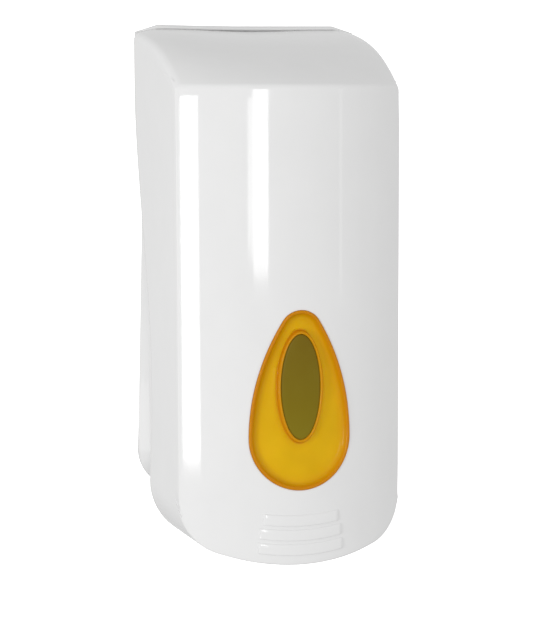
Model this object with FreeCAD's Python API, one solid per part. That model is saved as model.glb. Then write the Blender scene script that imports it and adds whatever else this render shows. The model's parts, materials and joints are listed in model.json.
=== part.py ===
"""Wall mounted push-cover soap dispenser, one STEP file per separate piece, in millimetres.

Frame: +Z up, +Y into the wall, the wall is the plane Y = 0, and X = 0 is the middle plane.
Heights in this script are counted from the lower lip in the middle of the cover's front.
`save` lowers every piece by ORIGIN_HEIGHT, so that the origin is the middle of the four wall
screw holes, on the wall.
"""

import FreeCAD, Part
import math
import os
from FreeCAD import Vector as V

ORIGIN_HEIGHT = 150.0

# Cover shell
WALL = 2.2                # thickness of the moulded shell
HALF_REAR = 66.4          # half width at the wall
HALF_FRONT = 62.0         # half width at the two front creases
CREASE_DEPTH = 94.0       # wall to the front creases
FRONT_DEPTH = 116.0       # wall to the middle of the bowed front
EDGE_HEIGHT = 254.4       # level edge where the front meets the top
REAR_MIDDLE = 287.7       # height of the top at the wall, in the middle
REAR_SHOULDER = 288.8     # the same at SHOULDER_X
REAR_CORNER = 285.7       # the same at the sides
SHOULDER_X = 52.0
LIP_RADIUS = 135.0        # lower edge, seen from the front
CORNER_RADIUS = 27.0      # rounded lower corners, seen from the front, at the creases
CORNER_GROWTH = 0.12      # how fast they widen towards the wall
FLOOR_SLOPE = 0.07        # the floor falls towards the wall
NOTCH_HALF = 24.0         # notch in the floor for the spout
NOTCH_Y = -68.0
REAR_LOW = -31.0          # rear edge of the cover's sides, at the bottom
REAR_MID = -36.8          # the same along the lower half
REAR_TOP = -5.6           # the same along the upper part

# Amber lens (three-arc teardrop) and its elliptical sight glass
TEAR_WIDE_R = 28.0
TEAR_WIDE_Z = 68.5
TEAR_SIDE_R = 119.0
TEAR_TOP_Z = 137.0
SIGHT_Z = 95.9
SIGHT_HALF_X = 10.8
SIGHT_HALF_Z = 28.1

# Lens stack: offsets from the front face, of which negative ones lie inside it
LENS_GAP = 0.2            # between the lens and the cover's opening
LENS_FLANGE = 3.0         # how far the flange reaches past the opening
LENS_RIM = 0.6            # crest of the raised rim
LENS_RIM_WIDTH = 1.7
LENS_FACE = -0.8
LENS_SEAT = -2.9          # front of the flange, on the gasket
LENS_BACK = -4.2
SIGHT_RIM = 1.4           # width of the rim round the sight glass
GLASS_FACE = -1.6
GLASS_BACK = -5.2
RETAINER_BACK = -5.9
RETAINER_INSET = 2.0
STAKES = [(22.0, 122.0), (30.5, 53.0)]
STAKE_R = 1.5
STAKE_HEAD_R = 2.4
STAKE_EYE_R = 3.6

# Grip bars on the lower front
BAR_HALVES = [20.8, 22.6, 23.4]
BAR_TOP = 27.3
BAR_PITCH = 7.9
BAR_HEIGHT = 6.2
BAR_PROUD = 0.8
BAR_ARC_R = 147.0

# Back plate
PLATE = 2.5               # wall plate thickness
PLATE_TOP = 290.4
PLATE_TOP_HALF = 52.0
PLATE_SAG = 0.5           # dip in the middle of its top edge
PLATE_SHOULDER = (64.6, 286.4)
PLATE_WAIST = (61.7, 185.0)
PLATE_LOW = (65.6, 46.3)
PLATE_CORNER_R = 24.0
TUB_HALF = 60.6           # side walls of the tub, inside the cover
TUB_WALL = 2.5
TUB_DEPTH = 42.0
TUB_BOTTOM = 26.5
TUB_TOP = 238.5
TUB_CORNER_R = 20.0
SKIRT_DEPTH = 12.0        # the tub flares out to the plate over this depth
HOLE_R = 2.6              # wall screw holes
HOLE_DX = 80.0
HOLE_DZ = 150.0

# Pivot of the lever and the cover
PIVOT_Y = -34.0
PIVOT_Z = 276.0
PIN_R = 2.5
PIN_END = 60.3            # |X| of the pins' outer ends
PIVOT_BOSS_R = 4.0
RUNNING = 0.05            # radial running clearance
BRACKET = (46.0, 50.0)    # |X| of the back plate's bracket
ARM = (51.0, 54.5)        # |X| of the lever's arms
EAR = (55.3, 63.2)        # |X| of the cover's pivot bosses

# Tank
TANK_HALF = 48.0
TANK_REAR = -6.0
TANK_FRONT = -82.0
TANK_LOW = 90.0
TANK_HIGH = 230.0
TANK_WALL = 2.0
NECK_Y = -56.0
NECK_R = 21.0
NECK_BORE = 18.5
NECK_TOP = 238.0
LID_SEAL = 1.2            # thickness of the lid's seal
LID_LOW = 232.0
LID_HIGH = 241.4

# Pump, whose cylinder lies along Y under the tank
PUMP_Z = 60.0
PORT_Y = -35.5
BORE_R = 10.0
BODY_R = 13.0
BODY_REAR = -27.0
BORE_REAR = -30.0
BODY_FRONT = -66.0
CROWN_Y = -58.0
SEAL_Y = (CROWN_Y - 2.5, CROWN_Y - 5.0)
SEAL_CORE_R = 8.0
ROD_R = 6.0
ROD_TIP = -87.6
PORT_R = 4.5
SOCKET_R = 8.5            # socket over the pump, which takes the tank's outlet and its seal
SOCKET_LOW = 78.0
SOCKET_TOP = 86.0
OUTLET_R = 6.0            # outlet under the tank
OUTLET_LOW = 80.0
SPOUT_R = 8.0
SPOUT_LOW = 12.0
SPOUT_TAPER = 26.0        # height where the spout starts to taper
VALVE_SEAT = 36.5         # ledge in the spout that holds the duckbill
SCREW_X = 19.0

# Lever
BAR_REAR = -88.0
BAR_FRONT = -92.0
BAR_LOW = 48.0
BAR_HIGH = 72.0
PAD_X = (40.0, 50.0)      # |X| of the cover's pads, which press on the bar
PAD_Z = (54.0, 66.0)

# Lock in the cover's lower lip
LOCK_Y = -100.0
LOCK_R = 6.0
LOCK_HEAD_R = 7.2
LOCK_LOW = -0.7
LOCK_SEAT = 2.0           # where the lock's head bears on the cover
LOCK_TOP = 18.0
LOCK_BOSS_R = 9.5
LOCK_BOSS_TOP = 14.2
PLUG_R = 3.6
CAM_LOW = 19.2
CAM_HIGH = 21.4
CAM_REACH = 15.5
SQUARE = 4.4              # across the cam's square
SCREW_R = 1.2             # the cam's screw
CATCH = (11.0, 14.0)      # |X| of the catch on the lever

FRONT_BOW = FRONT_DEPTH - CREASE_DEPTH
FRONT_R = (HALF_FRONT ** 2 + FRONT_BOW ** 2) / (2 * FRONT_BOW)
FRONT_AXIS_Y = FRONT_R - FRONT_DEPTH


# ---------------------------------------------------------------- helpers

def save(name, shape):
    """Write one piece, moved so that the origin is the middle of the wall screw holes."""
    piece = shape.copy()
    piece.translate(V(0, 0, -ORIGIN_HEIGHT))
    solids = piece.Solids
    piece = solids[0] if len(solids) == 1 else Part.makeCompound(solids)
    piece.exportStep(os.path.join("parts", name + ".step"))
    print(f"{name:14s} {len(solids)} solids {piece.Volume / 1000:8.2f} cm3 valid {piece.isValid()}")


def box(x, y, z):
    """A box from three (low, high) pairs."""
    size = [abs(b - a) for a, b in (x, y, z)]
    return Part.makeBox(*size, V(min(x), min(y), min(z)))


def rod(radius, start, end):
    """A cylinder from one point to another."""
    start, end = V(*start), V(*end)
    return Part.makeCylinder(radius, (end - start).Length, start, end - start)


def tube(outer, inner, start, end):
    return rod(outer, start, end).cut(rod(inner, start, end))


def prism_yz(points, x):
    """A polygon of (y, z) points, extruded between two X."""
    wire = Part.makePolygon([V(min(x), y, z) for y, z in points + points[:1]])
    return Part.Face(wire).extrude(V(abs(x[1] - x[0]), 0, 0))


def both_sides(shape):
    return shape.fuse(shape.mirror(V(0, 0, 0), V(1, 0, 0)))


def arc(a, b, c):
    return Part.Arc(a, b, c).toShape()


def front_band(outer, inner):
    """The part between two cylinders about the front's axis; offsets count from the front face."""
    low, high = (0, FRONT_AXIS_Y, -10), (0, FRONT_AXIS_Y, 330)
    shell = tube(FRONT_R + outer, FRONT_R + inner, low, high)
    return shell.common(box((-90, 90), (-200, FRONT_AXIS_Y), (-10, 330)))


# ---------------------------------------------------------------- cover outline

def half_width(y):
    return HALF_REAR + (HALF_REAR - HALF_FRONT) * y / CREASE_DEPTH


def front_y(x):
    return FRONT_AXIS_Y - math.sqrt(FRONT_R ** 2 - x ** 2)


def rear_height(x):
    """Height of the cover's top along the wall: a shallow dip between two shoulders."""
    reach = abs(x) / SHOULDER_X
    if reach <= 1:
        return REAR_MIDDLE + (REAR_SHOULDER - REAR_MIDDLE) * math.sin(reach * math.pi / 2) ** 2
    fall = (abs(x) - SHOULDER_X) / (HALF_REAR - SHOULDER_X)
    return REAR_SHOULDER - (REAR_SHOULDER - REAR_CORNER) * fall ** 2


def top_height(x, t):
    """Height of the top at a share t of the way from the wall to the front."""
    drop = 0.46 * t + 0.54 * abs(t) ** 3
    return EDGE_HEIGHT + (rear_height(x) - EDGE_HEIGHT) * (1 - drop)


def top_cutter(inset):
    """Everything above the cover's top, lowered by the inset along its normal."""
    rows = []
    for i in range(17):
        x = -72 + 9 * i
        row = []
        for j in range(14):
            t = -0.1 + 0.1 * j
            depth = -front_y(x)
            slope = (top_height(x, t + 0.01) - top_height(x, t - 0.01)) / (0.02 * depth)
            row.append(V(x, -t * depth, top_height(x, t) - inset * math.sqrt(1 + slope ** 2)))
        rows.append(row)
    surface = Part.BSplineSurface()
    surface.interpolate(rows)
    return surface.toShape().extrude(V(0, 0, 90))


def lip_wire(y, inset):
    """The cover's outline seen from the front, at one depth: straight sides and a rounded foot."""
    radius = CORNER_RADIUS + CORNER_GROWTH * (y + CREASE_DEPTH)
    fall = FLOOR_SLOPE * (y + FRONT_DEPTH)
    centre_x = half_width(y) - radius
    link = LIP_RADIUS - radius
    centre_z = LIP_RADIUS - fall - math.sqrt(link ** 2 - centre_x ** 2)
    ux, uz = centre_x / link, (centre_z - LIP_RADIUS + fall) / link
    mx, mz = 1 + ux, uz
    length = math.hypot(mx, mz)
    r = radius - inset

    def at(x, z):
        return V(x, y, z)

    side = (centre_x + r, centre_z)
    middle = (centre_x + r * mx / length, centre_z + r * mz / length)
    join = (centre_x + r * ux, centre_z + r * uz)
    top = 320
    return Part.Wire([
        Part.makeLine(at(-side[0], top), at(-side[0], side[1])),
        arc(at(-side[0], side[1]), at(-middle[0], middle[1]), at(-join[0], join[1])),
        arc(at(-join[0], join[1]), at(0, inset - fall), at(*join)),
        arc(at(*join), at(*middle), at(*side)),
        Part.makeLine(at(*side), at(side[0], top)),
        Part.makeLine(at(side[0], top), at(-side[0], top)),
    ])


def cover_core(inset):
    """The space inside the cover's outer faces, moved in by the inset and open to the rear."""
    core = Part.makeLoft([lip_wire(20, inset), lip_wire(-130, inset)], True, True)
    ahead = box((-90, 90), (-200, FRONT_AXIS_Y), (-20, 330))
    ahead = ahead.cut(Part.makeCylinder(FRONT_R - inset, 350, V(0, FRONT_AXIS_Y, -20)))
    return core.cut(ahead).cut(top_cutter(inset))


def rear_cutter():
    """Everything behind the rear edge of the cover's sides, which leaves room to push."""
    x = -90

    def at(y, z):
        return V(x, y, z)

    foot = Part.BezierCurve()
    foot.setPoles([at(REAR_LOW, 24), at(REAR_LOW, 45), at(REAR_MID, 50), at(REAR_MID, 80)])
    sweep = Part.BezierCurve()
    sweep.setPoles([at(REAR_MID, 100), at(REAR_MID, 140), at(-7, 205), at(REAR_TOP, 250)])
    wire = Part.Wire([
        Part.makeLine(at(REAR_LOW, -20), at(REAR_LOW, 24)),
        foot.toShape(),
        Part.makeLine(at(REAR_MID, 80), at(REAR_MID, 100)),
        sweep.toShape(),
        Part.makeLine(at(REAR_TOP, 250), at(REAR_TOP, 330)),
        Part.makeLine(at(REAR_TOP, 330), at(60, 330)),
        Part.makeLine(at(60, 330), at(60, -20)),
        Part.makeLine(at(60, -20), at(REAR_LOW, -20)),
    ])
    return Part.Face(wire).extrude(V(180, 0, 0))


def teardrop(inset, depth=(-130, -90)):
    """The lens outline, moved in by the inset, extruded through the front."""
    side_x = TEAR_WIDE_R - TEAR_SIDE_R
    rise = TEAR_TOP_Z - TEAR_WIDE_Z
    top_r = (TEAR_SIDE_R ** 2 - side_x ** 2 - rise ** 2) / (2 * (TEAR_SIDE_R - rise))
    ux, uz = -side_x, rise - top_r
    length = math.hypot(ux, uz)
    ux, uz = ux / length, uz / length
    r = TEAR_SIDE_R - inset
    bend = math.atan2(uz, ux) / 2

    def at(x, z):
        return V(x, depth[0], z)

    wide = TEAR_WIDE_R - inset
    flank = (side_x + r * math.cos(bend), TEAR_WIDE_Z + r * math.sin(bend))
    join = (side_x + r * ux, TEAR_WIDE_Z + r * uz)
    wire = Part.Wire([
        arc(at(-wide, TEAR_WIDE_Z), at(0, TEAR_WIDE_Z - wide), at(wide, TEAR_WIDE_Z)),
        arc(at(wide, TEAR_WIDE_Z), at(*flank), at(*join)),
        arc(at(*join), at(0, TEAR_TOP_Z - inset), at(-join[0], join[1])),
        arc(at(-join[0], join[1]), at(-flank[0], flank[1]), at(-wide, TEAR_WIDE_Z)),
    ])
    return Part.Face(wire).extrude(V(0, depth[1] - depth[0], 0))


def sight(grow, depth=(-130, -90)):
    """The sight glass outline, grown all round, extruded through the front."""
    half_x, half_z = SIGHT_HALF_X + grow, SIGHT_HALF_Z + grow
    centre = V(0, depth[0], SIGHT_Z)
    ellipse = Part.Ellipse(centre + V(0, 0, half_z), centre + V(half_x, 0, 0), centre)
    return Part.Face(Part.Wire(ellipse.toShape())).extrude(V(0, depth[1] - depth[0], 0))


# ---------------------------------------------------------------- pieces that ride on the cover

def grip_bar(index):
    """One raised bar, bowed like the cover's lower edge."""
    half = BAR_HALVES[index]
    top = BAR_TOP - index * BAR_PITCH
    sag = half ** 2 / (2 * BAR_ARC_R)

    def at(x, z):
        return V(x, -130, z)

    low, high = top - BAR_HEIGHT - sag, top - sag
    wire = Part.Wire([
        arc(at(-half, low + sag), at(0, low), at(half, low + sag)),
        Part.makeLine(at(half, low + sag), at(half, high + sag)),
        arc(at(half, high + sag), at(0, high), at(-half, high + sag)),
        Part.makeLine(at(-half, high + sag), at(-half, low + sag)),
    ])
    return Part.Face(wire).extrude(V(0, 40, 0)).common(front_band(BAR_PROUD, -0.5))


def stake_posts(outer, inner, radius):
    """Four round posts behind the front, between two offsets from the front face."""
    posts = [rod(radius, (sx * x, -125, z), (sx * x, -95, z)) for x, z in STAKES for sx in (-1, 1)]
    return Part.makeCompound(posts).common(front_band(outer, inner))


def front_cover():
    outer = cover_core(0).cut(rear_cutter())
    shell = outer.cut(cover_core(WALL))
    for index in range(len(BAR_HALVES)):
        shell = shell.fuse(grip_bar(index))
    shell = shell.cut(teardrop(0))
    shell = shell.fuse(stake_posts(-1, RETAINER_BACK - 0.1, STAKE_R))
    shell = shell.fuse(stake_posts(RETAINER_BACK, RETAINER_BACK - 1.1, STAKE_HEAD_R))
    ears = rod(PIVOT_BOSS_R, (EAR[0], PIVOT_Y, PIVOT_Z), (EAR[1], PIVOT_Y, PIVOT_Z))
    shell = shell.fuse(both_sides(ears).common(outer))
    holes = rod(PIN_R + RUNNING, (EAR[0] - 1, PIVOT_Y, PIVOT_Z), (PIN_END + 0.5, PIVOT_Y, PIVOT_Z))
    shell = shell.cut(both_sides(holes))
    pads = box(PAD_X, (BAR_FRONT - 0.3, -FRONT_DEPTH), PAD_Z)
    shell = shell.fuse(both_sides(pads).common(cover_core(1)))
    boss = rod(LOCK_BOSS_R, (0, LOCK_Y, -3), (0, LOCK_Y, LOCK_BOSS_TOP)).common(outer)
    bore = rod(LOCK_R + 0.1, (0, LOCK_Y, -3), (0, LOCK_Y, LOCK_BOSS_TOP + 1))
    recess = rod(LOCK_HEAD_R + 0.1, (0, LOCK_Y, -3), (0, LOCK_Y, LOCK_SEAT))
    shell = shell.fuse(boss).cut(bore).cut(recess)
    notch = box((-NOTCH_HALF, NOTCH_HALF), (NOTCH_Y, 0), (-20, 12))
    return shell.cut(notch).removeSplitter()


def window_lens():
    opening = teardrop(LENS_GAP)
    face = opening.common(front_band(LENS_FACE, LENS_BACK))
    rim = opening.cut(teardrop(LENS_GAP + LENS_RIM_WIDTH)).common(front_band(LENS_RIM, LENS_FACE - 0.1))
    flange = teardrop(-LENS_FLANGE).common(front_band(LENS_SEAT, LENS_BACK))
    bead = sight(SIGHT_RIM).common(front_band(0.1, LENS_FACE - 0.1))
    return face.fuse(rim).fuse(flange).fuse(bead).cut(sight(0)).removeSplitter()


def sight_glass():
    """An elliptical plug whose flange lies behind the lens."""
    plug = sight(-0.1).common(front_band(GLASS_FACE, LENS_BACK - 0.1))
    flange = sight(1.8).common(front_band(LENS_BACK, GLASS_BACK))
    return plug.fuse(flange).removeSplitter()


def lens_gasket():
    return teardrop(-LENS_FLANGE).cut(teardrop(-0.3)).common(front_band(-WALL, LENS_SEAT))


def lens_retainer():
    """The ring that clamps the lens, with an eye over each stake post."""
    ring = teardrop(-LENS_FLANGE).common(front_band(LENS_BACK, RETAINER_BACK))
    ring = ring.fuse(stake_posts(LENS_BACK, RETAINER_BACK, STAKE_EYE_R)).cut(teardrop(RETAINER_INSET))
    return ring.cut(stake_posts(LENS_BACK + 0.2, RETAINER_BACK - 0.2, STAKE_R)).removeSplitter()


# ---------------------------------------------------------------- lock

def lock_body():
    body = rod(LOCK_R, (0, LOCK_Y, LOCK_LOW), (0, LOCK_Y, LOCK_TOP))
    body = body.fuse(rod(LOCK_HEAD_R, (0, LOCK_Y, LOCK_LOW), (0, LOCK_Y, LOCK_SEAT)))
    bore = rod(PLUG_R + RUNNING, (0, LOCK_Y, LOCK_LOW - 1), (0, LOCK_Y, LOCK_TOP + 1))
    return body.cut(bore).removeSplitter()


def cam_square(low, high):
    """The square that the plug and the cam share."""
    half = SQUARE / 2
    return box((-half, half), (LOCK_Y - half, LOCK_Y + half), (low, high))


def lock_plug():
    low = LOCK_LOW + 0.3
    plug = rod(PLUG_R, (0, LOCK_Y, low), (0, LOCK_Y, CAM_LOW)).fuse(cam_square(CAM_LOW - 1, CAM_HIGH))
    key_slot = box((-0.8, 0.8), (LOCK_Y - 2.6, LOCK_Y + 2.6), (low - 1, 8))
    pilot = rod(SCREW_R, (0, LOCK_Y, 12), (0, LOCK_Y, CAM_HIGH + 1))
    return plug.cut(key_slot).cut(pilot).removeSplitter()


def lock_cam():
    """A flat finger that points to the wall when free and turns to +X to hold the lever's catch."""
    hub = rod(5.2, (0, LOCK_Y, CAM_LOW), (0, LOCK_Y, CAM_HIGH))
    finger = box((-3, 3), (LOCK_Y, LOCK_Y + CAM_REACH - 3), (CAM_LOW, CAM_HIGH))
    tip = rod(3, (0, LOCK_Y + CAM_REACH - 3, CAM_LOW), (0, LOCK_Y + CAM_REACH - 3, CAM_HIGH))
    return hub.fuse(finger).fuse(tip).cut(cam_square(CAM_LOW - 1, CAM_HIGH + 1)).removeSplitter()


def lock_nut():
    flats = 16.0
    corner = flats / math.sqrt(3)
    points = [V(corner * math.cos(a), LOCK_Y + corner * math.sin(a), LOCK_BOSS_TOP)
              for a in [math.radians(60 * k) for k in range(7)]]
    nut = Part.Face(Part.makePolygon(points)).extrude(V(0, 0, 3))
    return nut.cut(rod(LOCK_R, (0, LOCK_Y, LOCK_BOSS_TOP - 1), (0, LOCK_Y, LOCK_TOP)))


def lock_screw():
    head = rod(3.4, (0, LOCK_Y, CAM_HIGH), (0, LOCK_Y, CAM_HIGH + 1.9))
    head = head.makeFillet(0.7, [e for e in head.Edges if e.BoundBox.ZMin > CAM_HIGH + 1])
    cross = box((-1.8, 1.8), (LOCK_Y - 0.35, LOCK_Y + 0.35), (CAM_HIGH + 0.9, CAM_HIGH + 3))
    cross = cross.fuse(box((-0.35, 0.35), (LOCK_Y - 1.8, LOCK_Y + 1.8), (CAM_HIGH + 0.9, CAM_HIGH + 3)))
    return head.fuse(rod(SCREW_R, (0, LOCK_Y, 12.5), (0, LOCK_Y, CAM_HIGH))).cut(cross).removeSplitter()


# ---------------------------------------------------------------- lever and pins

def push_lever():
    """A yoke: two arms from the pivot down to a bar in front of the pump, with the lock's catch."""
    low_y, low_z = -85.5, 62.0
    top_r, low_r = PIVOT_BOSS_R, 6.3
    dy, dz = low_y - PIVOT_Y, low_z - PIVOT_Z
    length = math.hypot(dy, dz)
    ny, nz = -dz / length, dy / length
    outline = [(PIVOT_Y + ny * top_r, PIVOT_Z + nz * top_r), (PIVOT_Y - ny * top_r, PIVOT_Z - nz * top_r),
               (low_y - ny * low_r, low_z - nz * low_r), (low_y + ny * low_r, low_z + nz * low_r)]
    arm = prism_yz(outline, ARM)
    arm = arm.fuse(rod(top_r, (ARM[0], PIVOT_Y, PIVOT_Z), (ARM[1], PIVOT_Y, PIVOT_Z)))
    arm = arm.fuse(rod(low_r, (ARM[0], low_y, low_z), (ARM[1], low_y, low_z)))
    arm = arm.cut(rod(PIN_R + RUNNING, (ARM[0] - 1, PIVOT_Y, PIVOT_Z), (ARM[1] + 1, PIVOT_Y, PIVOT_Z)))
    bar = box((-ARM[1], ARM[1]), (BAR_FRONT, BAR_REAR), (BAR_LOW, BAR_HIGH))
    catch = prism_yz([(BAR_REAR, 52), (BAR_REAR, 40), (-103.6, 27), (-103.6, 18.5),
                      (-107, 18.5), (-107, 30), (BAR_FRONT, 46), (BAR_FRONT, 52)], CATCH)
    return bar.fuse(both_sides(arm)).fuse(catch).removeSplitter()


def pivot_pins():
    shank = rod(PIN_R, (BRACKET[0], PIVOT_Y, PIVOT_Z), (PIN_END, PIVOT_Y, PIVOT_Z))
    head = rod(4.0, (BRACKET[0] - 2, PIVOT_Y, PIVOT_Z), (BRACKET[0], PIVOT_Y, PIVOT_Z))
    pin = shank.fuse(head).removeSplitter()
    return Part.makeCompound([pin, pin.mirror(V(0, 0, 0), V(1, 0, 0))])


# ---------------------------------------------------------------- back plate

def foot_line(at, half, corner_r, bottom):
    """A flat foot between two rounded corners, from left to right, ending on the sides."""
    cx, cz = half - corner_r, bottom + corner_r
    mid = corner_r * math.sqrt(0.5)
    return [
        arc(at(-half, cz), at(-cx - mid, cz - mid), at(-cx, bottom)),
        Part.makeLine(at(-cx, bottom), at(cx, bottom)),
        arc(at(cx, bottom), at(cx + mid, cz - mid), at(half, cz)),
    ]


def wall_plate():
    """The flat plate on the wall, with a waist in its sides and sloping top corners."""
    def at(x, z):
        return V(x, 0, z)

    low_x, low_z = PLATE_LOW
    waist_x, waist_z = PLATE_WAIST
    top_x, top_z = PLATE_SHOULDER
    outline = foot_line(at, low_x, PLATE_CORNER_R, low_z - PLATE_CORNER_R) + [
        arc(at(low_x, low_z), at(waist_x, waist_z), at(top_x, top_z)),
        Part.makeLine(at(top_x, top_z), at(PLATE_TOP_HALF, PLATE_TOP)),
        arc(at(PLATE_TOP_HALF, PLATE_TOP), at(0, PLATE_TOP - PLATE_SAG), at(-PLATE_TOP_HALF, PLATE_TOP)),
        Part.makeLine(at(-PLATE_TOP_HALF, PLATE_TOP), at(-top_x, top_z)),
        arc(at(-top_x, top_z), at(-waist_x, waist_z), at(-low_x, low_z)),
    ]
    return Part.Face(Part.Wire(outline)).extrude(V(0, -PLATE, 0))


def tub_block(half, bottom, corner_r, y, top=TUB_TOP):
    """A block with rounded lower corners, between two depths."""
    block = box((-half, half), y, (bottom, top))
    edges = [e for e in block.Edges
             if abs(e.CenterOfMass.z - bottom) < 0.01 and abs(abs(e.CenterOfMass.x) - half) < 0.01]
    return block.makeFillet(corner_r, edges)


def skirt_wire(y, half, waist, corner_r, bottom):
    """The skirt's outline at one depth, straight from its rounded foot up to the plate's waist."""
    def at(x, z):
        return V(x, y, z)

    top, shoulder = PLATE_WAIST[1], bottom + corner_r
    return Part.Wire(foot_line(at, half, corner_r, bottom) + [
        Part.makeLine(at(half, shoulder), at(waist, top)),
        Part.makeLine(at(waist, top), at(-waist, top)),
        Part.makeLine(at(-waist, top), at(-half, shoulder)),
    ])


def skirt():
    """The tub's side flares out to the wall plate along the lower half."""
    low_x, low_z = PLATE_LOW
    rear = skirt_wire(1 - PLATE, low_x, PLATE_WAIST[0], PLATE_CORNER_R, low_z - PLATE_CORNER_R)
    front = skirt_wire(-SKIRT_DEPTH, TUB_HALF, TUB_HALF, TUB_CORNER_R, TUB_BOTTOM)
    return Part.makeLoft([rear, front], True, True)


def back_plate():
    tub = tub_block(TUB_HALF, TUB_BOTTOM, TUB_CORNER_R, (-TUB_DEPTH, -PLATE))
    tub = tub.fuse(skirt())
    hollow = tub_block(TUB_HALF - TUB_WALL, TUB_BOTTOM + TUB_WALL, TUB_CORNER_R - TUB_WALL,
                       (-TUB_DEPTH - 1, -PLATE), TUB_TOP + 5)
    shell = tub.cut(hollow).fuse(wall_plate())
    shell = shell.cut(box((-11, 11), (-TUB_DEPTH - 1, -25), (20, 40)))
    shelf = box((BRACKET[0], TUB_HALF), (-30, -PLATE), (TUB_TOP - 2.5, TUB_TOP))
    bracket = prism_yz([(-PLATE, 234), (-38, 234), (-38.5, PIVOT_Z), (-29.5, PIVOT_Z), (-29.5, 262),
                        (-22, 243), (-PLATE, 243)], BRACKET)
    boss = rod(PIVOT_BOSS_R, (BRACKET[0], PIVOT_Y, PIVOT_Z), (BRACKET[1], PIVOT_Y, PIVOT_Z))
    bracket = bracket.fuse(boss)
    pin_hole = rod(PIN_R, (BRACKET[0] - 1, PIVOT_Y, PIVOT_Z), (BRACKET[1] + 1, PIVOT_Y, PIVOT_Z))
    bracket = bracket.cut(pin_hole)
    ledge = prism_yz([(-PLATE, 74), (-PLATE, TANK_LOW), (-28, TANK_LOW), (-28, TANK_LOW - 4)],
                     (28, 31))
    ledge = ledge.fuse(box((24, 46), (-28, -PLATE), (TANK_LOW - 3, TANK_LOW)))
    pillar = rod(5, (SCREW_X, -PLATE, PUMP_Z), (SCREW_X, BODY_REAR, PUMP_Z))
    pillar = pillar.fuse(box((SCREW_X - 1.5, SCREW_X + 1.5), (-20, -PLATE), (PUMP_Z - 14, PUMP_Z)))
    shell = shell.fuse(both_sides(shelf.fuse(bracket).fuse(ledge).fuse(pillar)))
    hook = box((-10, 10), (-14, -PLATE), (TANK_HIGH, TANK_HIGH + 3))
    shell = shell.fuse(hook)
    for sx in (-1, 1):
        shell = shell.cut(rod(1.5, (sx * SCREW_X, -14, PUMP_Z), (sx * SCREW_X, BODY_REAR - 1, PUMP_Z)))
        for sz in (-1, 1):
            x, z = sx * HOLE_DX / 2, ORIGIN_HEIGHT + sz * HOLE_DZ / 2
            shell = shell.fuse(rod(7, (x, 0, z), (x, -PLATE - 1, z)))
            shell = shell.cut(rod(HOLE_R, (x, 1, z), (x, -PLATE - 2, z)))
    return shell.removeSplitter()


# ---------------------------------------------------------------- tank

def round_uprights(block, y, half, radius):
    """Rounds a block's two upright edges at one depth."""
    edges = [e for e in block.Edges
             if abs(e.CenterOfMass.y - y) < 0.01 and abs(abs(e.CenterOfMass.x) - half) < 0.01]
    return block.makeFillet(radius, edges)


def rounded_block(half, y, z, rear_r, front_r):
    block = round_uprights(box((-half, half), y, z), max(y), half, rear_r)
    return round_uprights(block, min(y), half, front_r)


def tank():
    outside = rounded_block(TANK_HALF, (TANK_FRONT, TANK_REAR), (TANK_LOW, TANK_HIGH), 10, 18)
    inside = rounded_block(TANK_HALF - TANK_WALL, (TANK_FRONT + TANK_WALL, TANK_REAR - TANK_WALL),
                           (TANK_LOW + TANK_WALL, TANK_HIGH - TANK_WALL), 8, 16)
    shell = outside.fuse(rod(NECK_R, (0, NECK_Y, TANK_HIGH - 1), (0, NECK_Y, NECK_TOP)))
    shell = shell.fuse(rod(OUTLET_R, (0, PORT_Y, OUTLET_LOW), (0, PORT_Y, TANK_LOW + 1)))
    neck_bore = rod(NECK_BORE, (0, NECK_Y, TANK_HIGH - 5), (0, NECK_Y, NECK_TOP + 1))
    outlet_bore = rod(4.2, (0, PORT_Y, OUTLET_LOW - 1), (0, PORT_Y, TANK_LOW + 5))
    return shell.cut(inside).cut(neck_bore).cut(outlet_bore).removeSplitter()


def tank_lid():
    under = NECK_TOP + LID_SEAL
    lid = rod(NECK_R + 2.1, (0, NECK_Y, LID_LOW), (0, NECK_Y, LID_HIGH))
    lid = lid.cut(rod(NECK_R + 0.1, (0, NECK_Y, LID_LOW - 1), (0, NECK_Y, under)))
    grip = box((-12, 12), (NECK_Y - 2.5, NECK_Y + 2.5), (LID_HIGH - 0.4, LID_HIGH + 4.6))
    return lid.fuse(grip).removeSplitter()


def lid_seal():
    return tube(NECK_R, NECK_BORE, (0, NECK_Y, NECK_TOP), (0, NECK_Y, NECK_TOP + LID_SEAL))


def tank_seal():
    return tube(SOCKET_R, OUTLET_R, (0, PORT_Y, OUTLET_LOW), (0, PORT_Y, SOCKET_TOP))


# ---------------------------------------------------------------- pump

def along_y(radius, y0, y1, x=0.0):
    return rod(radius, (x, y0, PUMP_Z), (x, y1, PUMP_Z))


def pump_body():
    body = along_y(BODY_R, BODY_REAR, BODY_FRONT)
    body = body.fuse(box((-25, 25), (BORE_REAR, BODY_REAR), (PUMP_Z - 10, PUMP_Z + 10)))
    body = body.fuse(rod(8, (0, PORT_Y, PUMP_Z), (0, PORT_Y, 76)))
    body = body.fuse(rod(SOCKET_R + 2, (0, PORT_Y, SOCKET_LOW - 3), (0, PORT_Y, SOCKET_TOP)))
    body = body.fuse(rod(6.5, (0, PORT_Y, PUMP_Z), (0, PORT_Y, 38)))
    body = body.cut(along_y(BORE_R, BORE_REAR, BODY_FRONT - 1))
    body = body.cut(rod(PORT_R, (0, PORT_Y, 37), (0, PORT_Y, 80)))
    body = body.cut(rod(SOCKET_R, (0, PORT_Y, SOCKET_LOW), (0, PORT_Y, SOCKET_TOP + 1)))
    for x in (-SCREW_X, SCREW_X):
        body = body.cut(along_y(1.75, BODY_REAR + 1, BORE_REAR - 1, x))
    return body.removeSplitter()


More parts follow.
